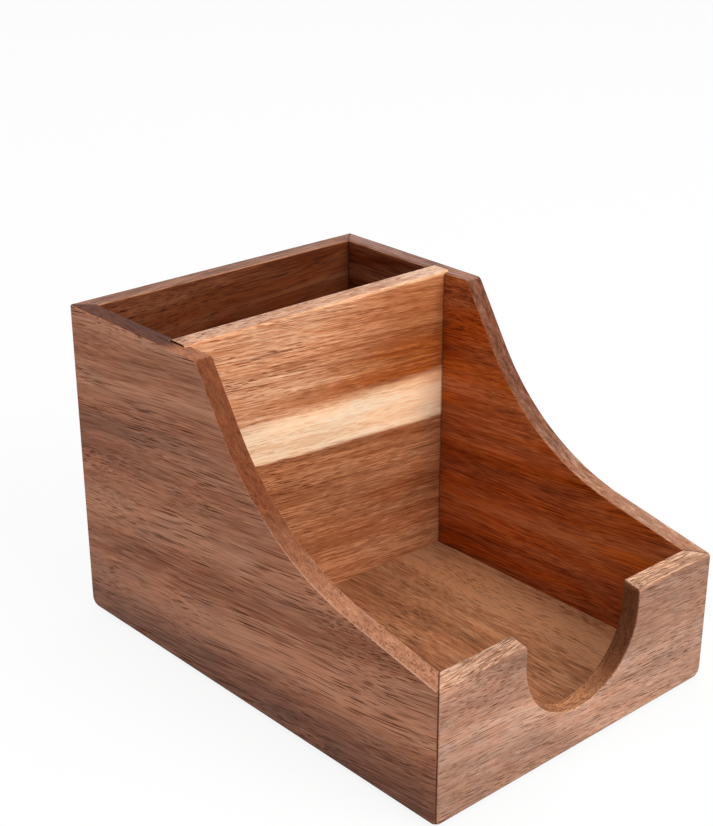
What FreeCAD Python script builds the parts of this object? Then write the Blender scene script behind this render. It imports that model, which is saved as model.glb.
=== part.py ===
import FreeCAD, Part
import math
import os

# Wooden desk organizer: an open note tray in front of a taller pen compartment.
# Millimetres. X runs to the right, Y from the front face to the rear face, Z up.
# The origin is on the desk, under the middle of the organizer.

# Overall sizes
outer_width = 88.0
outer_depth = 126.0
back_height = 80.5          # rear panel and back of the sides, above the walls' lower edge
front_height = 32.6         # face of the front panel, above the walls' lower edge
wall = 4.8                  # thickness of the four mitred walls

# Pen compartment and its front wall, the divider
pen_well_depth = 30.4       # clear space between divider and rear panel
divider_thickness = 6.0
divider_rise = 0.4          # the divider stands this proud of the sides
divider_round = 1.0         # its two top edges
housing_depth = 1.5         # how far its ends go into the sides

# Scoop in the top edge of each side; its lower run goes on over the front panel
top_landing = 8.0           # level top in front of the divider
top_corner_round = 1.5      # where the level top turns down into the scoop
scoop_run = 23.5            # from the level top forward to where the two straight runs would cross
bend_height = 42.9          # height of that crossing above the walls' lower edge
scoop_radius = 61.0

# Thumb notch in the front panel
notch_width = 36.0
notch_straight = 4.3        # upright part of its sides, above the half round
notch_corner_round = 0.8    # where its sides meet the top edge

# Base and its tongue
base_thickness = 5.0
tongue_thickness = 2.0
tongue_length = 2.0
tongue_rise = 1.5           # from the base's underside to the tongue

# Loose tongues in the mitres
spline_thickness = 1.2
spline_width = 3.6
spline_margin = 4.0         # from the base, and from the top edge of the corner
spline_place_share = 0.4    # along the mitre, from the inner corner

# Foot pads
foot_diameter = 10.0
foot_thickness = 1.0
foot_inset = 11.0           # from the outer faces to the pad's middle
foot_round = 0.3

# Rounded edges of the walls
edge_round = 0.5            # rim of the walls, and the notch
corner_round = 0.8          # upright outer corners
bottom_round = 0.6          # lower outer edges

glue_gap = 0.05             # room in every housed joint, on each side
overrun = 2.0               # how far a cut runs past the faces it opens
touching = 1e-6             # points nearer than this are one point

# Places that follow from the sizes
half_width = outer_width / 2
half_depth = outer_depth / 2
inner_half_width = half_width - wall
inner_half_depth = half_depth - wall
wall_bottom = foot_thickness
floor = wall_bottom + base_thickness
back_top = wall_bottom + back_height
front_top = wall_bottom + front_height
divider_back = inner_half_depth - pen_well_depth
divider_front = divider_back - divider_thickness
divider_top = back_top + divider_rise
scoop_top = divider_front - top_landing
corner_signs = {
    "front_left": (-1, -1), "front_right": (1, -1), "rear_left": (-1, 1), "rear_right": (1, 1)}


def vec(x, y, z):
    return FreeCAD.Vector(x, y, z)


def box_between(low, high):
    """Block with these two opposite corners."""
    size = high - low
    return Part.makeBox(size.x, size.y, size.z, low)


def centred_box(half_x, low_y, high_y, low_z, high_z):
    """Block that is symmetrical about the YZ plane."""
    return box_between(vec(-half_x, low_y, low_z), vec(half_x, high_y, high_z))


def rounded_face(corners):
    """Flat face through (point, radius) corners, each radius an arc tangent to both sides."""
    spans = []
    for i, (point, radius) in enumerate(corners):
        if radius == 0:
            spans.append((point, None, point))
            continue
        to_before = (corners[i - 1][0] - point).normalize()
        to_after = (corners[(i + 1) % len(corners)][0] - point).normalize()
        half_angle = to_before.getAngle(to_after) / 2
        reach = radius / math.tan(half_angle)
        middle = (to_before + to_after).normalize() * (radius / math.sin(half_angle) - radius)
        spans.append((point + to_before * reach, point + middle, point + to_after * reach))
    edges = []
    for i, (start, middle, end) in enumerate(spans):
        following = spans[(i + 1) % len(spans)][0]
        if middle is not None:
            edges.append(Part.Arc(start, middle, end).toShape())
        if following.distanceToPoint(end) > touching:
            edges.append(Part.LineSegment(end, following).toShape())
    return Part.Face(Part.Wire(edges))


def outer_form():
    """The organizer's outside as one block, scooped in side view, its outer edges rounded."""
    plan = [(vec(x, y, wall_bottom), corner_round) for x, y in (
        (-half_width, -half_depth), (half_width, -half_depth),
        (half_width, half_depth), (-half_width, half_depth))]
    front_view = [
        (vec(-half_width, -half_depth, wall_bottom), bottom_round),
        (vec(half_width, -half_depth, wall_bottom), bottom_round),
        (vec(half_width, -half_depth, back_top), 0),
        (vec(-half_width, -half_depth, back_top), 0)]
    bend = vec(-half_width, scoop_top - scoop_run, wall_bottom + bend_height)
    side_view = [
        (vec(-half_width, -half_depth, wall_bottom), bottom_round),
        (vec(-half_width, half_depth, wall_bottom), bottom_round),
        (vec(-half_width, half_depth, back_top), 0),
        (vec(-half_width, scoop_top, back_top), top_corner_round),
        (bend, scoop_radius),
        (vec(-half_width, -half_depth, front_top), 0)]
    block = rounded_face(plan).extrude(vec(0, 0, back_height))
    block = block.common(rounded_face(front_view).extrude(vec(0, outer_depth, 0)))
    return block.common(rounded_face(side_view).extrude(vec(outer_width, 0, 0)))


def thumb_notch():
    """The U that is cut through the front panel, from its top edge down."""
    half = notch_width / 2
    bottom = front_top - notch_straight - half
    y = -half_depth - overrun
    corners = [
        (vec(-half, y, front_top + overrun), 0),
        (vec(-half, y, bottom), half),
        (vec(half, y, bottom), half),
        (vec(half, y, front_top + overrun), 0)]
    return rounded_face(corners).extrude(vec(0, wall + 2 * overrun, 0))


def is_rim(edge):
    """True for an edge that runs along a wall's face, other than its lower edge and its ends."""
    box = edge.BoundBox
    x = abs(box.Center.x)
    y = abs(box.Center.y)
    on_side = box.XLength < touching and min(abs(x - half_width), abs(x - inner_half_width)) < touching
    on_end = box.YLength < touching and min(abs(y - half_depth), abs(y - inner_half_depth)) < touching
    beside_corner = x > inner_half_width - touching
    upright = max(box.XLength, box.YLength) < touching
    round_corner = min(box.XLength, box.YLength) > touching
    return box.ZMax > floor and not (upright and beside_corner) and (on_side or on_end or round_corner)


def spline(side, end, gap):
    """Loose tongue across the mitre at one corner, or its slot when gap is the room round it."""
    top = (front_top if end < 0 else back_top) - spline_margin + gap
    bottom = floor + spline_margin - gap
    thickness = spline_thickness + 2 * gap
    width = spline_width + 2 * gap
    bar = Part.makeBox(thickness, width, top - bottom, vec(-thickness / 2, -width / 2, bottom))
    bar.rotate(vec(0, 0, 0), vec(0, 0, 1), math.degrees(math.atan2(end, side)))
    along_mitre = spline_place_share * wall
    bar.translate(vec(side * (inner_half_width + along_mitre), end * (inner_half_depth + along_mitre), 0))
    return bar


def whole_frame():
    """The four walls as one ring, rims rounded and joints cut, before it is parted at the mitres."""
    cavity = centred_box(inner_half_width, -inner_half_depth, inner_half_depth,
                         wall_bottom - overrun, back_top + overrun)
    ring = outer_form().cut(cavity).cut(thumb_notch()).removeSplitter()
    notch_corners = [edge for edge in ring.Edges if edge.BoundBox.ZMin > front_top - touching
                     and abs(abs(edge.BoundBox.Center.x) - notch_width / 2) < touching]
    ring = ring.makeFillet(notch_corner_round, notch_corners)
    ring = ring.makeFillet(edge_round, [edge for edge in ring.Edges if is_rim(edge)])
    groove_reach = tongue_length + glue_gap
    groove = centred_box(inner_half_width + groove_reach, -inner_half_depth - groove_reach,
                         inner_half_depth + groove_reach, wall_bottom + tongue_rise - glue_gap,
                         wall_bottom + tongue_rise + tongue_thickness + glue_gap)
    housing = centred_box(inner_half_width + housing_depth + glue_gap, divider_front - glue_gap,
                          divider_back + glue_gap, floor, divider_top + overrun)
    ring = ring.cut(groove).cut(housing)
    for side, end in corner_signs.values():
        ring = ring.cut(spline(side, end, glue_gap))
    return ring


def mitred_wall(ring, across, side):
    """One wall of the ring, between the mitre planes at its two ends."""
    half_across, half_along = (half_width, half_depth) if across == "x" else (half_depth, half_width)
    outer = overrun
    inner = -wall - overrun
    corners = []
    for reach, sign in ((outer, -1), (outer, 1), (inner, 1), (inner, -1)):
        off = side * (half_across + reach)
        along = sign * (half_along + reach)
        corners.append((vec(off, along, 0) if across == "x" else vec(along, off, 0), 0))
    return ring.common(rounded_face(corners).extrude(vec(0, 0, back_top + overrun)))


def divider_panel():
    """Board between tray and pen compartment, its top edges rounded."""
    board = centred_box(inner_half_width + housing_depth, divider_front, divider_back, floor, divider_top)
    top_edges = [edge for edge in board.Edges
                 if edge.BoundBox.ZMin > divider_top - touching and edge.BoundBox.XLength > divider_thickness]
    return board.makeFillet(divider_round, top_edges)


def base_panel():
    """Floor board with a tongue on all four edges."""
    board = centred_box(inner_half_width - glue_gap, -inner_half_depth + glue_gap,
                        inner_half_depth - glue_gap, wall_bottom, floor)
    tongue = centred_box(inner_half_width + tongue_length, -inner_half_depth - tongue_length,
                         inner_half_depth + tongue_length, wall_bottom + tongue_rise,
                         wall_bottom + tongue_rise + tongue_thickness)
    return board.fuse(tongue).removeSplitter()


def foot(side, end):
    """Thin round pad under one corner of the base, its lower rim rounded."""
    place = vec(side * (half_width - foot_inset), end * (half_depth - foot_inset), 0)
    pad = Part.makeCylinder(foot_diameter / 2, foot_thickness, place)
    lower_rim = [edge for edge in pad.Edges if edge.BoundBox.ZMax < touching]
    return pad.makeFillet(foot_round, lower_rim)


frame_ring = whole_frame()
pieces = {
    "left_side_panel": mitred_wall(frame_ring, "x", -1),
    "right_side_panel": mitred_wall(frame_ring, "x", 1),
    "front_panel": mitred_wall(frame_ring, "y", -1),
    "rear_panel": mitred_wall(frame_ring, "y", 1),
    "divider_panel": divider_panel(),
    "base_panel": base_panel(),
}
for corner, (side, end) in corner_signs.items():
    pieces[corner + "_spline"] = spline(side, end, 0)
    pieces[corner + "_foot"] = foot(side, end)

os.makedirs("parts", exist_ok=True)
for node, shape in pieces.items():
    print(node, "solids", len(shape.Solids), "valid", shape.isValid(), "volume", round(shape.Volume, 2))
    shape.exportStep("parts/" + node + ".step")
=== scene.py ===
import bmesh
import bpy
import math
from mathutils import Matrix, Vector


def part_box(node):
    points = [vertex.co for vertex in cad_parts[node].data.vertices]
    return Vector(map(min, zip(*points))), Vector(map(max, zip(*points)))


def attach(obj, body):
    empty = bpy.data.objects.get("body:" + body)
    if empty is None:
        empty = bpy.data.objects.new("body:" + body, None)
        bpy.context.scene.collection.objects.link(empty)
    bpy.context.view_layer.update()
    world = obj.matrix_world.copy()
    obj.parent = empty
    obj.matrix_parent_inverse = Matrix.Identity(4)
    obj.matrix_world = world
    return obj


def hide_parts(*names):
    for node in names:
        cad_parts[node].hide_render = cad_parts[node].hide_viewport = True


# Wooden desk organizer: an open note tray in front of a taller pen compartment.
# Boards are drawn in millimetres in the part's own frame and scaled to metres at the end.
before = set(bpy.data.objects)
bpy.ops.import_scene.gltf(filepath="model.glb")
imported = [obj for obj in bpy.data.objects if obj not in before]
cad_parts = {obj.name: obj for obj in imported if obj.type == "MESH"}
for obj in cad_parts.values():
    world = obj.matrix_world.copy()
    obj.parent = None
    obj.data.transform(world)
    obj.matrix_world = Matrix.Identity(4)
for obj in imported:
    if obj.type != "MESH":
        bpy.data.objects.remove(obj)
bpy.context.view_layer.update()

# Left side
# A solid board of reddish brown wood, level at the back and scooped down to the front.
# Sawn to the curve, grooved and housed inside, mitred at both ends, glued, then sanded and oiled.
mm = 0.001
side_low, side_high = (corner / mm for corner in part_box("left_side_panel"))
half_width = -side_low.x
half_depth = -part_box("front_panel")[0].y / mm
wall = side_high.x - side_low.x
wall_foot = side_low.z
back_top = side_high.z
front_height = 32.6
front_top = wall_foot + front_height
divider_low, divider_high = (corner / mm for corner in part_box("divider_panel"))
base_low, base_high = (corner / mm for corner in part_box("base_panel"))
corner_names = ("front_left", "front_right", "rear_left", "rear_right")

rim_round = 0.5
arris_round = 0.8
lower_round = 0.6
foot_corners = {"front_left": 1.4, "front_right": 2.4, "rear_left": 2.4, "rear_right": 2.0}
front_corners = {"left": 1.0, "right": 1.1}
mitre_gap = 0.004
housing_gap = 0.06
glue_gap = 0.05
tongue_rise = 1.5
tongue_thickness = 2.0
overrun = 2.0
tiny = 1e-3

scoop_start = 13.8
scoop_top_round = 1.5
scoop_radius = 61
bend_height = 42.9
bend_along, bend_up = -9.7, wall_foot + bend_height
front_slope = (bend_up - front_top) / (bend_along + half_depth)


def scoop_outline(hand):
    """Side view of a side board, front to the left, as (along, up, round) corners."""
    return [
        (-half_depth, wall_foot, foot_corners["front_" + hand]),
        (half_depth, wall_foot, foot_corners["rear_" + hand]),
        (half_depth, back_top, 0),
        (scoop_start, back_top, scoop_top_round),
        (bend_along, bend_up, scoop_radius),
        (-half_depth, front_top, front_corners[hand])]


def add_node(tree, kind, inputs=None, **settings):
    """New node; an input takes a value or the socket that feeds it."""
    made = tree.nodes.new(kind)
    for name, value in settings.items():
        setattr(made, name, value)
    for name, value in (inputs or {}).items():
        if isinstance(value, bpy.types.NodeSocket):
            tree.links.new(value, made.inputs[name])
        else:
            made.inputs[name].default_value = value
    return made


def sockets(tree, inputs, outputs):
    """Named inputs and outputs of a node tree, and its two end nodes."""
    for direction, wanted in (("INPUT", inputs), ("OUTPUT", outputs)):
        for name, kind in wanted:
            tree.interface.new_socket(name, in_out=direction, socket_type="NodeSocket" + kind)
    return tree.nodes.new("NodeGroupInput").outputs, tree.nodes.new("NodeGroupOutput").inputs


def sum_of(tree, operation, *values):
    """One step of arithmetic between numbers or sockets."""
    return add_node(tree, "ShaderNodeMath", dict(enumerate(values)), operation=operation).outputs[0]


def sawn_board_tree():
    """Outline with rounded corners, filled and given its thickness along +Z."""
    tree = bpy.data.node_groups.new("sawn_board", "GeometryNodeTree")
    given, result = sockets(
        tree, [("Outline", "Geometry"), ("Thickness", "Float"), ("Arc Step", "Float"),
               ("Finish", "Material")],
        [("Board", "Geometry")])
    radius = add_node(tree, "GeometryNodeInputNamedAttribute", {"Name": "round"}, data_type="FLOAT")
    steps = sum_of(tree, "DIVIDE", radius.outputs["Attribute"], given["Arc Step"])
    line = add_node(tree, "GeometryNodeMeshToCurve", {"Mesh": given["Outline"]})
    rounded = add_node(tree, "GeometryNodeFilletCurve", {
        "Curve": line.outputs[0], "Count": sum_of(tree, "MAXIMUM", steps, 5.0),
        "Radius": radius.outputs["Attribute"], "Limit Radius": True}, mode="POLY")
    face = add_node(tree, "GeometryNodeFillCurve", {"Curve": rounded.outputs[0]}, mode="NGONS")
    upward = add_node(tree, "ShaderNodeCombineXYZ", {"Z": given["Thickness"]})
    raised = add_node(tree, "GeometryNodeExtrudeMesh", {
        "Mesh": face.outputs[0], "Offset": upward.outputs[0], "Individual": False}, mode="FACES")
    under = add_node(tree, "GeometryNodeFlipFaces", {"Mesh": face.outputs[0]})
    both = add_node(tree, "GeometryNodeJoinGeometry")
    tree.links.new(raised.outputs["Mesh"], both.inputs[0])
    tree.links.new(under.outputs[0], both.inputs[0])
    closed = add_node(tree, "GeometryNodeMergeByDistance", {"Geometry": both.outputs[0], "Distance": 1e-4})
    plain = add_node(tree, "GeometryNodeRealizeInstances", {"Geometry": closed.outputs[0]})
    finished = add_node(tree, "GeometryNodeSetMaterial", {
        "Geometry": plain.outputs[0], "Material": given["Finish"]})
    tree.links.new(finished.outputs[0], result["Board"])
    return tree


def settle(board):
    """Turns a board and the modifiers that shape it into a plain mesh."""
    shaped = board.evaluated_get(bpy.context.evaluated_depsgraph_get())
    board.data = bpy.data.meshes.new_from_object(shaped)
    board.modifiers.clear()


def new_object(name, mesh):
    """Object for a mesh, in the scene."""
    made = bpy.data.objects.new(name, mesh)
    bpy.context.scene.collection.objects.link(made)
    return made


def sawn_board(name, outline, thickness, finish, arc_step=1.0):
    """Board cut to an outline of (along, up, round) corners, its outer face at Z 0."""
    mesh = bpy.data.meshes.new(name)
    count = len(outline)
    mesh.from_pydata([(along, up, 0) for along, up, radius in outline],
                     [(i, (i + 1) % count) for i in range(count)], [])
    mesh.attributes.new("round", "FLOAT", "POINT").data.foreach_set("value", [c[2] for c in outline])
    board = new_object(name, mesh)
    modifier = board.modifiers.new("sawn", "NODES")
    modifier.node_group = sawn_tree
    values = {"Thickness": thickness, "Arc Step": arc_step, "Finish": finish}
    for item in sawn_tree.interface.items_tree:
        if item.in_out == "INPUT" and item.name in values:
            modifier[item.identifier] = values[item.name]
    settle(board)
    return board


def block_outline(low_along, low_up, high_along, high_up, radius=0):
    """Outline of a plain board, its four corners alike."""
    return [(low_along, low_up, radius), (high_along, low_up, radius),
            (high_along, high_up, radius), (low_along, high_up, radius)]


def stood_up(outer_y):
    """Turns a board from lying to standing, with its outer face at this Y."""
    return Matrix(((1, 0, 0, 0), (0, 0, -1, outer_y), (0, 1, 0, 0), (0, 0, 0, 1)))


def ease_edges(board, widest, radius_of):
    """Rounds each edge by what radius_of gives for its middle and its run."""
    mesh = board.data
    weights = mesh.attributes.new("bevel_weight_edge", "FLOAT", "EDGE")
    for edge in mesh.edges:
        start, end = (mesh.vertices[i].co for i in edge.vertices)
        weights.data[edge.index].value = radius_of((start + end) / 2, end - start) / widest
    bevel = board.modifiers.new("eased", "BEVEL")
    bevel.limit_method = "WEIGHT"
    bevel.width = widest
    bevel.segments = 5
    bevel.use_clamp_overlap = False


def prism(name, plan, low, high):
    """Closed block over a plan of (x, y) corners given anticlockwise."""
    mesh = bpy.data.meshes.new(name)
    count = len(plan)
    mesh.from_pydata([(x, y, z) for z in (low, high) for x, y in plan], [],
                     [tuple(range(count))[::-1], tuple(range(count, 2 * count))]
                     + [(i, (i + 1) % count, count + (i + 1) % count, count + i) for i in range(count)])
    return new_object(name, mesh)


def rectangle(half_x, low_y, high_y):
    """Plan of a block that is the same to the left and to the right."""
    return [(-half_x, low_y), (half_x, low_y), (half_x, high_y), (-half_x, high_y)]


def cut_with(board, tool, operation):
    """Cuts a board with a tool, or joins the two."""
    cut = board.modifiers.new("cut", "BOOLEAN")
    cut.operation = operation
    cut.object = tool
    cut.solver = "EXACT"


def square_up(mesh):
    """Gives a face's own direction back to the corners where a cut through the board bent it."""
    most_bent = math.radians(35)
    directions = [corner.vector.copy() for corner in mesh.corner_normals]
    for face in mesh.polygons:
        for corner in face.loop_indices:
            if directions[corner].dot(face.normal) < math.cos(most_bent):
                directions[corner] = face.normal.copy()
    mesh.normals_split_custom_set(directions)


def hand_over(board, node, tools=()):
    """Applies what shapes the board, scales it to metres and puts it in the CAD node's place."""
    settle(board)
    sharp_from = math.radians(32)
    board.data.polygons.foreach_set("use_smooth", [True] * len(board.data.polygons))
    board.data.set_sharp_from_angle(angle=sharp_from)
    weighted = board.modifiers.new("flat_faces", "WEIGHTED_NORMAL")
    weighted.keep_sharp = True
    weighted.weight = 100
    settle(board)
    square_up(board.data)
    board.data.transform(Matrix.Scale(mm, 4))
    for tool in tools:
        bpy.data.objects.remove(tool)
    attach(board, "root")
    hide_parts(node)


def linear(red, green, blue):
    """Colour as it shows on screen, turned into the light it stands for."""
    return [(c / 255 / 12.92 if c <= 10 else ((c / 255 + 0.055) / 1.055) ** 2.4)
            for c in (red, green, blue)] + [1.0]


def stretched(tree, place, *lengths):
    """The same place measured in lengths of a mark on the wood: along, across and through the board."""
    if any(isinstance(length, bpy.types.NodeSocket) for length in lengths):
        lengths = add_node(tree, "ShaderNodeCombineXYZ", dict(enumerate(lengths))).outputs[0]
    return add_node(tree, "ShaderNodeVectorMath", {0: place, 1: lengths}, operation="DIVIDE").outputs[0]


def noise(tree, place, detail, roughness=0.5):
    """Cloudy noise over a place that is already measured in lengths of a mark."""
    return add_node(tree, "ShaderNodeTexNoise", {
        "Vector": place, "Scale": 1.0, "Detail": detail, "Roughness": roughness})


def between(tree, value, low, high, to_low=0.0, to_high=1.0):
    """Smooth step of a value from low to high."""
    return add_node(tree, "ShaderNodeMapRange", {
        "Value": value, "From Min": low, "From Max": high, "To Min": to_low, "To Max": to_high},
        interpolation_type="SMOOTHSTEP").outputs[0]


def mix(tree, share, first, second, blend="MIX"):
    """Second colour over the first one by its share."""
    return add_node(tree, "ShaderNodeMix", {0: share, 6: first, 7: second},
                    data_type="RGBA", blend_type=blend).outputs[2]


def part_place(tree):
    """Place in the part's frame in millimetres, and its three coordinates."""
    place = add_node(tree, "ShaderNodeMapping", {
        "Vector": add_node(tree, "ShaderNodeTexCoord").outputs["Object"], "Scale": (1 / mm,) * 3}).outputs[0]
    return place, add_node(tree, "ShaderNodeSeparateXYZ", {0: place}).outputs


def waved_height(tree, place, lengths, rise, height):
    """Height that goes up and down by the lengths and the rise of the log's growth bands."""
    waves = noise(tree, stretched(tree, place, *lengths), 3.0).outputs["Fac"]
    return sum_of(tree, "MULTIPLY_ADD", sum_of(tree, "SUBTRACT", waves, 0.5), rise, height)


def wood_grain_group():
    """Growth bands, streaks, fibres and open pores that run along X of the board."""
    tree = bpy.data.node_groups.new("wood_grain", "ShaderNodeTree")
    given, result = sockets(
        tree, [("Place", "Vector"), ("Pale", "Color"), ("Body", "Color"), ("Dark", "Color"),
               ("Pore", "Color"), ("Drift", "Float"), ("Bands", "Float"), ("Mottle", "Float"),
               ("Figure Length", "Float"), ("Pores", "Float"), ("Pore Length", "Float"),
               ("End Grain", "Float"), ("End Tint", "Color"), ("Top Edge", "Float"), ("Top Painted Light", "Color"),
               ("Top Lines", "Float"), ("Specks", "Float")],
        [("Color", "Color"), ("Height", "Float"), ("Roughness", "Float")])
    drift = noise(tree, stretched(tree, given["Place"], 150, 55, 55), 2.0)
    centred = add_node(tree, "ShaderNodeVectorMath", {0: drift.outputs["Color"], 1: (0.5, 0.5, 0.5)},
                       operation="SUBTRACT")
    sideways = add_node(tree, "ShaderNodeCombineXYZ", {"Y": given["Drift"], "Z": given["Drift"]})
    drifted = add_node(tree, "ShaderNodeVectorMath", {
        0: centred.outputs[0], 1: sideways.outputs[0], 2: given["Place"]}, operation="MULTIPLY_ADD")
    place = drifted.outputs[0]
    scaled = add_node(tree, "ShaderNodeVectorMath", {0: stretched(tree, place, 26, 1, 1.4)},
                      operation="SCALE")
    tree.links.new(given["Bands"], scaled.inputs["Scale"])
    length = given["Figure Length"]
    streaks = noise(tree, stretched(tree, place, length, 2.2, 2.6), 3.0, 0.6).outputs["Fac"]
    fibre_length = sum_of(tree, "MULTIPLY", given["Pore Length"], 0.6)
    fibres = noise(tree, stretched(tree, place, fibre_length, 0.26, 0.26), 2.0, 0.6).outputs["Fac"]
    edge_lines = noise(tree, stretched(tree, place, 26, 0.36, 0.32), 2.0, 0.55).outputs["Fac"]
    layers = [
        (noise(tree, scaled.outputs[0], 2.0).outputs["Fac"], 0.46),
        (streaks, 0.24),
        (noise(tree, stretched(tree, place, sum_of(tree, "MULTIPLY", length, 0.27), 0.45, 0.5),
               3.0, 0.65).outputs["Fac"], 0.26),
        (fibres, 0.32),
        (noise(tree, stretched(tree, place, 5, 1.1, 1.1), 3.0, 0.6).outputs["Fac"], given["Mottle"]),
        (edge_lines, sum_of(tree, "MULTIPLY", given["Top Edge"], given["Top Lines"]))]
    tone = 0.0
    for layer, share in layers:
        tone = sum_of(tree, "MULTIPLY_ADD", sum_of(tree, "SUBTRACT", layer, 0.5), share, tone)
    end_share = between(tree, given["End Grain"], 0.2, 0.85)
    slant_share = between(tree, given["End Grain"], 0.06, 0.4)
    rings = noise(tree, stretched(tree, place, 4, 2.4, 1.0), 4.0, 0.7).outputs["Fac"]
    slant_tone = sum_of(tree, "MULTIPLY", sum_of(tree, "SUBTRACT", rings, 0.5), 0.5)
    tone = sum_of(tree, "MULTIPLY_ADD", sum_of(tree, "SUBTRACT", slant_tone, tone), slant_share, tone)
    colour = mix(tree, between(tree, tone, -0.09, 0.0), given["Dark"], given["Body"])
    colour = mix(tree, between(tree, tone, 0.0, 0.09), colour, given["Pale"])
    patch_length = sum_of(tree, "MULTIPLY", length, 0.4)
    patch_width = sum_of(tree, "MULTIPLY", length, 0.12)
    hue = noise(tree, stretched(tree, place, patch_length, patch_width, patch_width), 3.0).outputs["Fac"]
    cast = mix(tree, between(tree, hue, 0.36, 0.64), (1.05, 0.99, 0.94, 1), (0.97, 1.0, 1.01, 1))
    colour = mix(tree, 1.0, colour, cast, "MULTIPLY")

    pores = 0.0
    for longer, across, reach in ((1.0, 0.4, 0.3), (1.0, 0.7, 0.18), (3.0, 1.0, 0.12)):
        along = sum_of(tree, "MULTIPLY", given["Pore Length"], longer)
        cells = add_node(tree, "ShaderNodeTexVoronoi", {
            "Vector": stretched(tree, place, along, across, across), "Scale": 1.0})
        marks = between(tree, cells.outputs["Distance"], reach, reach * 0.62)
        pores = sum_of(tree, "MAXIMUM", pores, marks)
    hairs = noise(tree, stretched(tree, place, length, 0.24, 0.24), 2.0, 0.55).outputs["Fac"]
    pores = sum_of(tree, "MAXIMUM", pores, between(tree, hairs, 0.62, 0.66))
    crowds = noise(tree, stretched(tree, place, 40, 5, 5), 2.0).outputs["Fac"]
    pores = sum_of(tree, "MULTIPLY", pores, between(tree, crowds, 0.36, 0.6, 0.45))
    pores = sum_of(tree, "MULTIPLY", pores, given["Pores"])
    pores = sum_of(tree, "MULTIPLY", pores, sum_of(tree, "MULTIPLY_ADD", slant_share, -0.3, 1.0))
    dots = add_node(tree, "ShaderNodeTexVoronoi", {
        "Vector": stretched(tree, place, 1.8, 0.55, 0.55), "Scale": 1.0})
    cut_across = sum_of(tree, "MAXIMUM", slant_share, given["Top Edge"])
    specks = sum_of(tree, "MULTIPLY", between(tree, dots.outputs["Distance"], 0.38, 0.2),
                    sum_of(tree, "MULTIPLY", cut_across, given["Specks"]))
    pores = sum_of(tree, "MAXIMUM", pores, specks)
    colour = mix(tree, pores, colour, given["Pore"])

    # End grain takes its darker tint, and upward faces their painted sheen and shade.
    for share, tint in ((end_share, given["End Tint"]), (given["Top Edge"], given["Top Painted Light"])):
        colour = mix(tree, share, colour, mix(tree, 1.0, colour, tint, "MULTIPLY"))
    tree.links.new(colour, result["Color"])
    height = sum_of(tree, "SUBTRACT", sum_of(tree, "MULTIPLY", fibres, 0.35), pores)
    tree.links.new(height, result["Height"])
    tree.links.new(sum_of(tree, "MULTIPLY_ADD", pores, 0.2, sum_of(tree, "MULTIPLY", streaks, 0.2)),
                   result["Roughness"])
    return tree


def worn_lit_edges_group():
    """Arrises painted paler in patches, as rubbed wear and painted highlight; end grain, top edges and the
    inner face, in the board's own axes.
    """
    tree = bpy.data.node_groups.new("worn_lit_edges", "ShaderNodeTree")
    given, result = sockets(
        tree, [("Place", "Vector"), ("Normal", "Vector"), ("Inner Side", "Float")],
        [("Wear Highlight", "Float"), ("End Grain", "Float"), ("Top Edge", "Float"), ("Inner", "Float")])
    facing = add_node(tree, "ShaderNodeSeparateXYZ", {0: given["Normal"]}).outputs
    flat = sum_of(tree, "MULTIPLY", facing["Z"], facing["Z"])
    slant = sum_of(tree, "MULTIPLY", sum_of(tree, "MULTIPLY", flat, sum_of(tree, "SUBTRACT", 1.0, flat)), 4.0)
    patches = noise(tree, stretched(tree, given["Place"], 14, 9, 9), 3.0).outputs["Fac"]
    worn_lit = sum_of(tree, "MULTIPLY", between(tree, slant, 0.15, 0.8), between(tree, patches, 0.34, 0.62, 0.25))
    endwise = sum_of(tree, "ABSOLUTE", facing["X"])
    under = between(tree, facing["Y"], -0.05, -0.35)
    along_grain = sum_of(tree, "SUBTRACT", between(tree, endwise, 0.52, 0.3), under)
    tree.links.new(sum_of(tree, "MULTIPLY", worn_lit, sum_of(tree, "MAXIMUM", along_grain, 0.0)), result["Wear Highlight"])
    tree.links.new(endwise, result["End Grain"])
    upward = sum_of(tree, "MULTIPLY", between(tree, facing["Y"], 0.45, 0.95), between(tree, flat, 0.6, 0.1))
    tree.links.new(upward, result["Top Edge"])
    inward = sum_of(tree, "MULTIPLY", facing["Z"], given["Inner Side"])
    uneven = between(tree, noise(tree, stretched(tree, given["Place"], 60, 5, 5), 3.0).outputs["Fac"],
                     0.36, 0.62, 1.0, 0.72)
    tree.links.new(sum_of(tree, "MULTIPLY", between(tree, inward, 0.7, 0.97), uneven), result["Inner"])
    return tree


def glue_line_group():
    """Dark line where two mitred boards meet, from the place in the part's frame."""
    tree = bpy.data.node_groups.new("glue_line", "ShaderNodeTree")
    given, result = sockets(tree, [("Place", "Vector"), ("Width", "Float")], [("Line", "Float")])
    at = add_node(tree, "ShaderNodeSeparateXYZ", {0: given["Place"]}).outputs
    aside = sum_of(tree, "SUBTRACT", sum_of(tree, "ABSOLUTE", at["X"]), half_width)
    ahead = sum_of(tree, "SUBTRACT", sum_of(tree, "ABSOLUTE", at["Y"]), half_depth)
    off = sum_of(tree, "ABSOLUTE", sum_of(tree, "SUBTRACT", aside, ahead))
    off = sum_of(tree, "MULTIPLY", off, math.sqrt(0.5))
    share = sum_of(tree, "DIVIDE", off, given["Width"])
    tree.links.new(between(tree, share, 1.0, 0.35), result["Line"])
    return tree


sawn_tree = sawn_board_tree()
grain_group = wood_grain_group()
worn_lit_group = worn_lit_edges_group()
glue_group = glue_line_group()
along_depth = Matrix(((0, 1, 0), (0, 0, 1), (1, 0, 0)))
along_width = Matrix(((1, 0, 0), (0, 0, 1), (0, -1, 0)))
higher_than_all = (200, 201)
glue_width = 0.25
# Heights above the foot where the painted contact shadow begins and where it is darkest.
foot_shadow_till, foot_shadow_most = 0.75, 0.35


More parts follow.
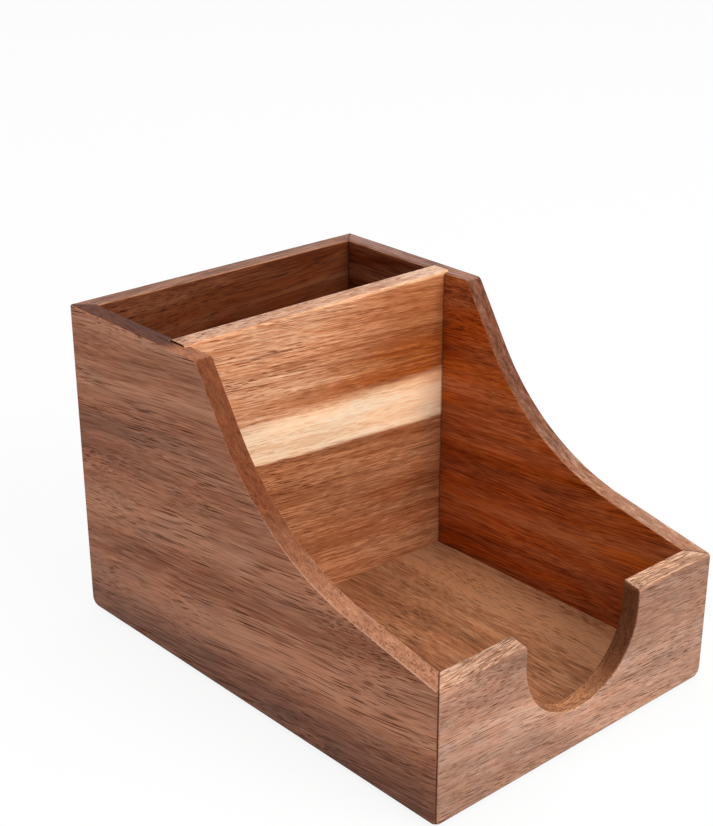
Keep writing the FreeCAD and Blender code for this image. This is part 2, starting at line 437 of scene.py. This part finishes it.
def oiled_wood(name, axes, tilt, start, tones, figure, end_tint, top_painted_light, worn_highlight, wear_highlight_share=0.3,
               inner_side=0, inner_shade=(1, 1, 1), well_shade=None, glued=True, low_painted_light=None,
               low_till=higher_than_all, back_painted_light=None, foot_shade=0.5):
    """Oiled board: axes turn the part's frame to grain, width and thickness, start is where in the log.
    Inner faces take painted shade and warm bounce light, darkest in the pen compartment (the well colour);
    inner_side says which way they look. Upward edges take painted sheen and shade: the top colour,
    the low colour where they lie lower than the heights in low_till, and the back colour behind the divider.
    Low arrises are painted paler, as rubbed wear and painted highlight, and the foot takes a painted contact
    shadow."""
    material = bpy.data.materials.new(name)
    material.use_nodes = True
    tree = material.node_tree
    tree.nodes.clear()
    coordinates = add_node(tree, "ShaderNodeTexCoord").outputs
    turn = (Matrix.Rotation(math.radians(tilt), 3, "Z") @ axes).to_euler()
    place = add_node(tree, "ShaderNodeMapping", {
        "Vector": coordinates["Object"], "Location": start, "Rotation": turn, "Scale": (1 / mm,) * 3})
    in_part, at = part_place(tree)
    facing = add_node(tree, "ShaderNodeMapping", {"Vector": coordinates["Normal"], "Rotation": turn},
                      vector_type="VECTOR")
    worn_lit = add_node(tree, "ShaderNodeGroup", node_tree=worn_lit_group)
    grain = add_node(tree, "ShaderNodeGroup", node_tree=grain_group, name="grain")
    for user in (worn_lit, grain):
        tree.links.new(place.outputs[0], user.inputs["Place"])
    tree.links.new(facing.outputs[0], worn_lit.inputs["Normal"])
    worn_lit.inputs["Inner Side"].default_value = inner_side
    for socket in ("End Grain", "Top Edge"):
        tree.links.new(worn_lit.outputs[socket], grain.inputs[socket])
    for socket, colour in tones.items():
        grain.inputs[socket].default_value = linear(*colour)
    for socket, value in figure.items():
        grain.inputs[socket].default_value = value
    grain.inputs["End Tint"].default_value = (*end_tint, 1)
    # Upward faces: painted sheen and shade, chosen by height and by lying behind the divider.
    behind = between(tree, at["Y"], divider_low.y, divider_high.y)
    tint = mix(tree, behind, (*top_painted_light, 1), (*(back_painted_light or top_painted_light), 1))
    high = between(tree, at["Z"], *low_till)
    tint = mix(tree, high, (*(low_painted_light or top_painted_light), 1), tint)
    tree.links.new(tint, grain.inputs["Top Painted Light"])
    low = sum_of(tree, "SUBTRACT", 1.0, high)
    tree.links.new(sum_of(tree, "MULTIPLY", low, figure["Specks"]), grain.inputs["Specks"])
    rubbed_highlight = sum_of(tree, "MULTIPLY", worn_lit.outputs["Wear Highlight"], low)
    # Low arrises painted paler: rubbed wear and painted highlight.
    colour = mix(tree, sum_of(tree, "MULTIPLY", rubbed_highlight, wear_highlight_share), grain.outputs["Color"], linear(*worn_highlight))
    # Inner faces take painted shade and warm bounce light, darker in the pen compartment.
    if inner_side:
        inner_shading = mix(tree, behind, (*inner_shade, 1), (*(well_shade or inner_shade), 1))
        colour = mix(tree, worn_lit.outputs["Inner"], colour, mix(tree, 1.0, colour, inner_shading, "MULTIPLY"))
    if glued:
        glue = add_node(tree, "ShaderNodeGroup", node_tree=glue_group)
        tree.links.new(in_part, glue.inputs["Place"])
        glue.inputs["Width"].default_value = glue_width
        # Dark glue line at the mitres, and a painted contact shadow along the foot.
        foot_shadow = between(tree, at["Z"], wall_foot + foot_shadow_till, wall_foot + foot_shadow_most, 0.0, foot_shade)
        glue_and_foot_shadow = sum_of(tree, "MAXIMUM", glue.outputs["Line"], foot_shadow)
        colour = mix(tree, sum_of(tree, "MULTIPLY", glue_and_foot_shadow, 0.82), colour, linear(70, 34, 20))
    bump = add_node(tree, "ShaderNodeBump", {
        "Height": grain.outputs["Height"], "Strength": 0.5, "Distance": 0.00012})
    oiled = add_node(tree, "ShaderNodeBsdfPrincipled", {
        "Base Color": colour, "Roughness": sum_of(tree, "ADD", grain.outputs["Roughness"], 0.36),
        "Normal": bump.outputs[0], "Specular IOR Level": 0.07})
    add_node(tree, "ShaderNodeOutputMaterial", {"Surface": oiled.outputs[0]})
    return material


def blend_zones(material, tones, zones):
    """Mixes the tones of other zones of the log into a board's own, each by its share."""
    tree = material.node_tree
    grain = tree.nodes["grain"]
    for shade in tones:
        colour = linear(*tones[shade])
        for share, zone in zones:
            colour = mix(tree, share, colour, linear(*zone[shade]))
        tree.links.new(colour, grain.inputs[shade])


def wall_rounds(outline, half_length):
    """Rounds of a wall's edges, as if the glued corner had been sanded as one."""
    feet = {along > 0: radius for along, up, radius in outline if up == wall_foot}
    tops = {along > 0: radius for along, up, radius in outline
            if up == front_top and abs(along) == half_length}

    def radius_of(middle, run):
        up = middle.y - wall_foot
        down = front_top - middle.y
        foot = feet[middle.x > 0]
        top = tops.get(middle.x > 0, 0)
        from_end = half_length - abs(middle.x)
        if abs(run.z) > tiny:
            return rim_round if from_end < tiny and middle.y > back_top - tiny else 0
        if up < tiny:
            return 0 if middle.z > wall - tiny else lower_round
        if middle.z > wall - tiny:
            return rim_round
        if from_end < foot and up < foot:
            return lower_round + (arris_round - lower_round) * up / foot
        if from_end < top and tiny < down < top:
            return rim_round + (arris_round - rim_round) * down / top
        return arris_round if from_end < tiny else rim_round
    return radius_of


def mitre_plan(half_along, half_across):
    """Plan of one wall between its mitres, with room for the glue; X along it, Y outwards."""
    outer = half_across + overrun
    inner = half_across - wall - overrun
    reach = half_along - half_across - mitre_gap
    return [(-(outer + reach), outer), (-(inner + reach), inner),
            (inner + reach, inner), (outer + reach, outer)]


def turned(plan, turn):
    """Plan turned about the middle of the organizer."""
    cosine, sine = math.cos(turn), math.sin(turn)
    return [(x * cosine - y * sine, x * sine + y * cosine) for x, y in plan]


def joinery():
    """Groove for the base, housing for the divider and slots for the splines, as tools for all the walls."""
    groove_plan = rectangle(base_high.x + glue_gap, base_low.y - glue_gap, base_high.y + glue_gap)
    groove = prism("groove", groove_plan, wall_foot + tongue_rise - glue_gap,
                   wall_foot + tongue_rise + tongue_thickness + glue_gap)
    housing_plan = rectangle(divider_high.x + housing_gap, divider_low.y - housing_gap,
                             divider_high.y + housing_gap)
    housing = prism("housing", housing_plan, base_high.z, back_top + overrun)
    slots = []
    for corner in corner_names:
        slot_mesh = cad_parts[corner + "_spline"].data.copy()
        slot_mesh.transform(Matrix.Scale(1 / mm, 4))
        merged = bmesh.new()
        merged.from_mesh(slot_mesh)
        bmesh.ops.remove_doubles(merged, verts=merged.verts, dist=tiny)
        merged.to_mesh(slot_mesh)
        merged.free()
        slots.append(new_object(corner + "_slot", slot_mesh))
    return [groove, housing] + slots


joints = joinery()


def build_wall(name, outline, half_along, half_across, turn, finish, planed_above=None):
    """One mitred wall: turn 0 is the rear, and the others follow anticlockwise from above.
    Above planed_above its top is planed to the slope of the scoop."""
    board = sawn_board(name, outline, wall, finish)
    ease_edges(board, arris_round, wall_rounds(outline, half_along))
    settle(board)
    if planed_above is not None:
        for vertex in board.data.vertices:
            if vertex.co.y > planed_above:
                vertex.co.y += front_slope * vertex.co.z
    board.data.transform(Matrix.Rotation(turn, 4, "Z") @ stood_up(half_across))
    wedge = prism("wedge", turned(mitre_plan(half_along, half_across), turn), -overrun, back_top + overrun)
    cut_with(board, wedge, "INTERSECT")
    for joint in joints:
        cut_with(board, joint, "DIFFERENCE")
    return board, wedge


side_heart = {"Pale": (187, 131, 102), "Body": (167, 112, 85), "Dark": (139, 85, 59), "Pore": (76, 31, 7)}
grey_heart = {"Pale": (156, 107, 85), "Body": (133, 88, 69), "Dark": (107, 67, 50), "Pore": (70, 30, 9)}
# The left board's level top is painted darker behind the divider, a painted shade, and its lower rim paler
# and bluer, a painted sheen.
left_wood = oiled_wood(
    "left_side_wood", along_depth, 7.0, (0, 0, 0), {},
    {"Drift": 16, "Bands": 0.09, "Mottle": 0.08, "Figure Length": 45, "Pores": 1.0, "Pore Length": 22,
     "Top Lines": 0.4, "Specks": 0.3},
    end_tint=(0.45, 0.30, 0.185), top_painted_light=(0.85, 0.72, 0.6), worn_highlight=(216, 166, 138), wear_highlight_share=0.55,
    inner_side=1, inner_shade=(0.85, 0.55, 0.36), well_shade=(0.42, 0.23, 0.14), low_painted_light=(1.05, 1.16, 1.19),
    low_till=(48, 64), back_painted_light=(0.22, 0.125, 0.08), foot_shade=0.75)


def grey_streaks(tree):
    """Shares of the grey streak at mid height of the rear half, and of the one along the foot."""
    place, at = part_place(tree)
    height = waved_height(tree, place, (30, 40, 4), 9.0, at["Z"])
    across = sum_of(tree, "MULTIPLY_ADD", at["Y"], 0.165, height)
    streak = sum_of(tree, "MULTIPLY", between(tree, across, 57.0, 62.0), between(tree, across, 68.0, 63.0))
    streak = sum_of(tree, "MULTIPLY", streak, between(tree, at["Y"], -10.0, 40.0, 0.0, 0.6))
    foot = between(tree, height, 18.5, 7.5, 0.0, 1.0)
    return (streak, grey_heart), (foot, grey_heart)


blend_zones(left_wood, side_heart, grey_streaks(left_wood.node_tree))
left_side, left_wedge = build_wall(
    "left_side_board", scoop_outline("left"), half_depth, half_width, math.radians(90), left_wood)
hand_over(left_side, "left_side_panel", [left_wedge])

# Right side
# The same board, other hand; its inner face takes a strong red-orange painted shade and bounce light, its
# level top a paler, bluer painted sheen.
# Sawn, mitred, glued and oiled as the left one is.
right_wood = oiled_wood(
    "right_side_wood", along_depth, 4.0, (310, 40, 90),
    {"Pale": (196, 150, 122), "Body": (164, 112, 84), "Dark": (114, 70, 46), "Pore": (86, 36, 6)},
    {"Drift": 16, "Bands": 0.07, "Mottle": 0.12, "Figure Length": 45, "Pores": 0.5, "Pore Length": 16,
     "Top Lines": 0.1, "Specks": 0.2},
    end_tint=(0.44, 0.345, 0.33), top_painted_light=(0.9, 0.95, 1.15), worn_highlight=(196, 150, 120),
    inner_side=-1, inner_shade=(1.1, 0.48, 0.10), well_shade=(0.46, 0.2, 0.09), low_painted_light=(0.97, 1.07, 1.18),
    low_till=(60, 76), back_painted_light=(0.62, 0.66, 0.85))
right_outline = [(-along, up, radius) for along, up, radius in reversed(scoop_outline("right"))]
right_side, right_wedge = build_wall(
    "right_side_board", right_outline, half_depth, half_width, math.radians(-90), right_wood)
hand_over(right_side, "right_side_panel", [right_wedge])

# Front
# A low board with a U-shaped thumb notch, paler and pinker than the sides, its top sloped like the scoop.
# The notch is sawn and sanded before the board is mitred and glued. The outline is seen from inside.
notch_half = 18.0
notch_bottom = 11.3
notch_round = 0.6
notch_lip = (front_top - 1.5, front_top - 0.5)
planed_depth = 3.0
front_outline = [
    (-half_width, wall_foot, foot_corners["front_right"]),
    (half_width, wall_foot, foot_corners["front_left"]),
    (half_width, front_top, front_corners["left"]),
    (notch_half, front_top, notch_round),
    (notch_half, notch_bottom, notch_half),
    (-notch_half, notch_bottom, notch_half),
    (-notch_half, front_top, notch_round),
    (-half_width, front_top, front_corners["right"])]
pink_heart = {"Pale": (173, 134, 114), "Body": (155, 116, 96), "Dark": (132, 94, 76), "Pore": (86, 49, 30)}
pale_heart = {"Pale": (193, 150, 127), "Body": (173, 130, 108), "Dark": (149, 107, 86), "Pore": (92, 53, 33)}
front_wood = oiled_wood(
    "front_wood", along_width, 4.0, (40, 200, 10), {},
    {"Drift": 12, "Bands": 0.09, "Mottle": 0.12, "Figure Length": 20, "Pores": 0.9, "Pore Length": 6,
     "Top Lines": 1.9, "Specks": 0.6},
    end_tint=(0.42, 0.27, 0.17), top_painted_light=(1.22, 1.26, 1.2), worn_highlight=(206, 160, 128), wear_highlight_share=0.2,
    inner_side=-1, inner_shade=(0.85, 0.55, 0.36), low_painted_light=(0.9, 0.72, 0.5), low_till=notch_lip,
    foot_shade=0.35)


def pale_band(tree):
    """Share of the paler band, which falls from the upper left to the lower right, and of the top edge
    to the right of the notch, which is as pale."""
    place, at = part_place(tree)
    height = waved_height(tree, place, (30, 20, 4), 12.0, at["Z"])
    across = sum_of(tree, "MULTIPLY_ADD", at["X"], 0.42, height)
    band = sum_of(tree, "MULTIPLY", between(tree, across, 1.0, 9.0), between(tree, across, 25.0, 15.0))
    right_top = sum_of(tree, "MULTIPLY", between(tree, at["X"], 8.0, 20.0),
                       between(tree, at["Z"], front_top - 1.0, front_top - 0.2))
    return sum_of(tree, "MAXIMUM", band, right_top)


blend_zones(front_wood, pink_heart, ((pale_band(front_wood.node_tree), pale_heart),))
front_board, front_wedge = build_wall(
    "front_board", front_outline, half_width, half_depth, math.radians(180), front_wood,
    front_top - planed_depth)
hand_over(front_board, "front_panel", [front_wedge])

# Rear
# The tall back board of the pen compartment, plain and level on top.
# Mitred and glued between the two sides.
rear_outline = [
    (-half_width, wall_foot, foot_corners["rear_left"]),
    (half_width, wall_foot, foot_corners["rear_right"]),
    (half_width, back_top, 0),
    (-half_width, back_top, 0)]
# Its inner face, in the pen compartment, takes a dark painted shade.
rear_wood = oiled_wood(
    "rear_wood", along_width, -2.0, (500, 90, 260),
    {"Pale": (178, 124, 92), "Body": (152, 98, 70), "Dark": (120, 74, 52), "Pore": (78, 34, 10)},
    {"Drift": 16, "Bands": 0.065, "Mottle": 0.15, "Figure Length": 40, "Pores": 0.85, "Pore Length": 14,
     "Top Lines": 0.4, "Specks": 0.3},
    end_tint=(0.50, 0.32, 0.2), top_painted_light=(0.78, 0.88, 1.1), worn_highlight=(196, 146, 112),
    inner_side=1, inner_shade=(0.36, 0.2, 0.12))
rear_board, rear_wedge = build_wall("rear_board", rear_outline, half_width, half_depth, 0, rear_wood)
hand_over(rear_board, "rear_panel", [rear_wedge] + joints)

# Splines
# Thin loose tongues of pale wood, glued into slots inside the four mitres.
# They are out of sight once the corners are closed, and keep their CAD shape.
spline_wood = oiled_wood(
    "spline_wood", along_depth, 0, (0, 0, 700),
    {"Pale": (226, 196, 156), "Body": (208, 174, 132), "Dark": (184, 146, 104), "Pore": (150, 112, 76)},
    {"Drift": 6, "Bands": 0.2, "Mottle": 0.1, "Figure Length": 30, "Pores": 0.3, "Pore Length": 8,
     "Top Lines": 0, "Specks": 0},
    end_tint=(0.7, 0.6, 0.5), top_painted_light=(1, 1, 1), worn_highlight=(226, 198, 160), glued=False)
for corner in corner_names:
    spline_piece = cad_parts[corner + "_spline"]
    spline_piece.data.materials.clear()
    spline_piece.data.materials.append(spline_wood)

# Base
# The floor of the tray and the pen compartment, one board with a tongue on all four edges.
# It slides into the groove in the walls while they are glued, with its upper edges eased.
tongue_length = 2.0
base_ease = 0.35
lying_along_depth = Matrix(((0, 1, 0), (-1, 0, 0), (0, 0, 1)))
base_wood = oiled_wood(
    "base_wood", lying_along_depth, 1.0, (150, 600, 40),
    {"Pale": (182, 130, 94), "Body": (154, 102, 70), "Dark": (120, 76, 52), "Pore": (80, 40, 22)},
    {"Drift": 16, "Bands": 0.055, "Mottle": 0.12, "Figure Length": 40, "Pores": 0.8, "Pore Length": 14,
     "Top Lines": 0, "Specks": 0},
    end_tint=(0.5, 0.34, 0.2), top_painted_light=(1, 1, 1), worn_highlight=(190, 142, 108), glued=False)
base_half_x = base_high.x - tongue_length - glue_gap
base_half_y = base_high.y - tongue_length - glue_gap
base_board = sawn_board(
    "base_board", block_outline(-base_half_x, -base_half_y, base_half_x, base_half_y),
    base_high.z - base_low.z, base_wood)
ease_edges(base_board, base_ease, lambda middle, run: 0 if abs(run.z) > tiny else base_ease)
settle(base_board)
base_board.data.transform(Matrix.Translation((0, 0, base_low.z)))
base_tongue = prism("tongue", rectangle(base_high.x, base_low.y, base_high.y),
                    base_low.z + tongue_rise, base_low.z + tongue_rise + tongue_thickness)
cut_with(base_board, base_tongue, "UNION")
hand_over(base_board, "base_panel", [base_tongue])

# Divider
# The board between tray and pen compartment, orange brown with a cream band of sapwood.
# Its ends slide down into housings in the sides, and its top stands a little proud of them.
divider_round = 1.0
heartwood = {"Pale": (243, 198, 160), "Body": (218, 163, 125), "Dark": (190, 125, 85), "Pore": (106, 48, 19)}
# Russet: painted shade and warm bounce light of the corner against the right side.
russet_corner_shade = {"Pale": (192, 120, 72), "Body": (168, 96, 52), "Dark": (138, 72, 34), "Pore": (96, 38, 10)}
brown_heart = {"Pale": (197, 136, 96), "Body": (162, 102, 67), "Dark": (130, 73, 42), "Pore": (90, 40, 16)}
ember_heart = {"Pale": (218, 140, 77), "Body": (195, 110, 50), "Dark": (160, 80, 32), "Pore": (92, 36, 9)}
sapwood = {"Pale": (255, 230, 202), "Body": (252, 216, 179), "Dark": (236, 188, 146), "Pore": (196, 130, 78)}
growth_ring = {"Pale": (160, 84, 40), "Body": (140, 66, 26), "Dark": (116, 50, 18), "Pore": (90, 34, 8)}
glue_stain = {"Pale": (84, 44, 24), "Body": (74, 36, 18), "Dark": (62, 30, 14), "Pore": (50, 22, 10)}
# Its ends are tinted near black, where they show as a thin line at the housings: glue-soaked end grain with
# the painted shadow of the gap.
divider_wood = oiled_wood(
    "divider_wood", along_width, 5.0, (900, 20, 50), {},
    {"Drift": 5, "Bands": 0.1, "Mottle": 0.08, "Figure Length": 60, "Pore Length": 7, "Top Lines": 0.3,
     "Specks": 0},
    end_tint=(0.07, 0.04, 0.025), top_painted_light=(0.79, 0.84, 0.98), worn_highlight=(226, 178, 134), wear_highlight_share=0.2,
    glued=False)


def divider_zones(tree):
    """Shares of the zones: russet to the right, a painted shade and warm bounce light of the corner by the
    right side; embers and growth rings over the sapwood, brown under it, the sapwood, the glue.
    Also how open the pores are."""
    at = part_place(tree)[1]
    fall = sum_of(tree, "MULTIPLY", at["X"], 0.071)
    log_place = add_node(tree, "ShaderNodeCombineXYZ", {
        "X": at["X"], "Y": at["Y"], "Z": sum_of(tree, "ADD", at["Z"], fall)}).outputs[0]
    height = waved_height(tree, log_place, (55, 20, 4), 5.0, at["Z"])
    above = sum_of(tree, "ADD", sum_of(tree, "SUBTRACT", height, 46.2), fall)
    band = sum_of(tree, "MULTIPLY", between(tree, above, -0.7, 0.9), between(tree, height, 57.7, 54.5))
    under = between(tree, above, 0.5, -0.9)
    streaks = noise(tree, stretched(tree, log_place, 70, 20, 1.3), 3.0).outputs["Fac"]
    over = between(tree, height, 55.5, 58.0)
    # Russet at the right end: painted shade and warm bounce light of the corner, not on the top.
    russet = sum_of(tree, "MULTIPLY", over, between(tree, at["X"], -14.0, 30.0, 0.0, 0.9))
    russet = sum_of(tree, "MULTIPLY", russet, between(tree, at["Z"], divider_high.z, divider_high.z - 1.2))
    embers = sum_of(tree, "MULTIPLY", over, between(tree, height, 69.5, 61.5))
    embers = sum_of(tree, "MULTIPLY", embers, between(tree, at["X"], -22.0, 30.0))
    embers = sum_of(tree, "MULTIPLY", embers, between(tree, streaks, 0.38, 0.54, 0.3))
    ring_field = noise(tree, stretched(tree, log_place, 260, 100, 7), 2.0).outputs["Fac"]
    off_ring = sum_of(tree, "ABSOLUTE", sum_of(tree, "SUBTRACT", ring_field, 0.5))
    rings = sum_of(tree, "MULTIPLY", between(tree, off_ring, 0.014, 0.004, 0.0, 0.6), over)
    rings = sum_of(tree, "MULTIPLY", rings, between(tree, at["X"], -40.0, 10.0, 0.3))
    inner_half = half_width - wall
    stain = between(tree, sum_of(tree, "ABSOLUTE", at["X"]), inner_half - 0.6, inner_half - 0.2, 0.0, 0.6)
    stain = sum_of(tree, "MULTIPLY", stain, between(tree, at["Z"], back_top, back_top - 1.0))
    open_pores = between(tree, at["X"], 36.0, -28.0, 0.5, 1.0)
    pores = sum_of(tree, "MULTIPLY", open_pores, between(tree, band, 0.0, 1.0, 1.0, 0.6))
    zones = ((russet, russet_corner_shade), (embers, ember_heart), (rings, growth_ring), (under, brown_heart),
             (band, sapwood), (stain, glue_stain))
    return zones, pores


divider_tree = divider_wood.node_tree
wood_zones, pore_share = divider_zones(divider_tree)
blend_zones(divider_wood, heartwood, wood_zones)
divider_tree.links.new(pore_share, divider_tree.nodes["grain"].inputs["Pores"])
divider_board = sawn_board(
    "divider_board", block_outline(divider_low.x, divider_low.z, divider_high.x, divider_high.z),
    divider_high.y - divider_low.y, divider_wood)
ease_edges(
    divider_board, divider_round,
    lambda middle, run: divider_round if middle.y > divider_high.z - tiny and abs(run.x) > tiny else 0)
settle(divider_board)
divider_board.data.transform(stood_up(divider_high.y))
hand_over(divider_board, "divider_panel")

# Foot pads
# Thin round pads of dark foam rubber, stuck under the corners of the base.
# Punched from sheet, so the rim is square above and only the lower edge is rounded.
foam = bpy.data.materials.new("foot_foam")
foam.use_nodes = True
foam_tree = foam.node_tree
foam_place = add_node(foam_tree, "ShaderNodeTexCoord").outputs["Object"]
foam_cells = add_node(foam_tree, "ShaderNodeTexVoronoi", {"Vector": foam_place, "Scale": 2600.0})
foam_shade = noise(foam_tree, stretched(foam_tree, foam_place, 0.0015, 0.0015, 0.0015), 3.0)
foam_bump = add_node(foam_tree, "ShaderNodeBump", {
    "Height": foam_cells.outputs["Distance"], "Strength": 0.4, "Distance": 0.0001})
foam_shader = foam_tree.nodes["Principled BSDF"]
foam_tree.links.new(mix(foam_tree, foam_shade.outputs["Fac"], linear(34, 32, 31), linear(58, 55, 52)),
                    foam_shader.inputs["Base Color"])
foam_tree.links.new(foam_bump.outputs[0], foam_shader.inputs["Normal"])
foam_shader.inputs["Roughness"].default_value = 0.85
pad_round = 0.3
for corner in corner_names:
    pad_low, pad_high = (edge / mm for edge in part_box(corner + "_foot"))
    pad_middle = (pad_low + pad_high) / 2
    radius = (pad_high.x - pad_low.x) / 2
    pad = sawn_board(corner + "_pad", block_outline(-radius, -radius, radius, radius, radius),
                     pad_high.z - pad_low.z, foam, arc_step=0.4)
    ease_edges(pad, pad_round, lambda middle, run: pad_round if middle.z < tiny else 0)
    settle(pad)
    pad.data.transform(Matrix.Translation((pad_middle.x, pad_middle.y, pad_low.z)))
    hand_over(pad, corner + "_foot")

# Floor
# A plain white sweep that shows white and keeps a soft shadow.
def shown(tree):
    """1 for what the camera sees straight, mirrored or through something, 0 for light on the pieces."""
    rays = add_node(tree, "ShaderNodeLightPath").outputs
    mirrored = sum_of(tree, "MAXIMUM", rays["Is Glossy Ray"], rays["Is Transmission Ray"])
    return sum_of(tree, "MAXIMUM", rays["Is Camera Ray"], mirrored)


white = bpy.data.materials.new("studio_white")
white.use_nodes = True
white_tree = white.node_tree
white_tree.nodes.clear()
paper = add_node(white_tree, "ShaderNodeBsdfDiffuse", {"Color": (0.86, 0.86, 0.86, 1)})
shine = add_node(white_tree, "ShaderNodeEmission", {"Color": (1, 1, 1, 1), "Strength": 1.0})
shine_share = sum_of(white_tree, "MULTIPLY", shown(white_tree), 0.88)
blend = add_node(white_tree, "ShaderNodeMixShader", {
    0: shine_share, 1: paper.outputs[0], 2: shine.outputs[0]})
add_node(white_tree, "ShaderNodeOutputMaterial", {"Surface": blend.outputs[0]})
floor_half = 6.0
floor_drop = 2e-5
floor_mesh = bpy.data.meshes.new("studio_floor")
floor_mesh.from_pydata([(x, y, -floor_drop) for x, y in rectangle(floor_half, -floor_half, floor_half)],
                       [], [(0, 1, 2, 3)])
floor_mesh.materials.append(white)
floor = new_object("studio_floor", floor_mesh)

# Light
# A wide soft box overhead, a smaller one from the front right, and an even white room.
world = bpy.data.worlds.new("white_room")
world.use_nodes = True
world_tree = world.node_tree
room_light = 0.48
room = world_tree.nodes["Background"]
room.inputs["Color"].default_value = (1, 1, 1, 1)
room_strength = sum_of(world_tree, "MULTIPLY_ADD", shown(world_tree), 1 - room_light, room_light)
world_tree.links.new(room_strength, room.inputs["Strength"])
bpy.context.scene.world = world


def soft_light(name, place, aim, size, power):
    """Square soft box that looks at a point."""
    lamp = bpy.data.lights.new(name, "AREA")
    lamp.shape = "SQUARE"
    lamp.size = size
    lamp.energy = power
    holder = bpy.data.objects.new(name, lamp)
    holder.location = place
    holder.rotation_euler = (Vector(aim) - Vector(place)).to_track_quat("-Z", "Y").to_euler()
    bpy.context.scene.collection.objects.link(holder)


soft_light("overhead", (0.1, 0.15, 1.6), (0, 0.05, 0), 2.0, 16)
soft_light("key", (0.18, -1.0, 0.7), (0, 0, 0.03), 0.7, 10)

# Camera
# Where the photograph was taken from, found by fitting the corners of the boards.
picture_width = 713
picture_height = 826
focal_pixels = 1654.0
centre = (420.0, 470.0)
eye = Vector((-0.24000, -0.25967, 0.21148))
right = Vector((0.72411, -0.68953, 0.01480))
ahead = Vector((0.62966, 0.65218, -0.42211))
camera = bpy.data.cameras.new("photo_camera")
camera.lens = focal_pixels * camera.sensor_width / picture_height
camera.shift_x = (picture_width / 2 - centre[0]) / picture_height
camera.shift_y = (centre[1] - picture_height / 2) / picture_height
viewer = bpy.data.objects.new("photo_camera", camera)
up = right.cross(ahead)
viewer.matrix_world = Matrix.Translation(eye) @ Matrix((right, up, -ahead)).transposed().to_4x4()
bpy.context.scene.collection.objects.link(viewer)
bpy.context.scene.camera = viewer
bpy.context.scene.view_settings.view_transform = "Standard"
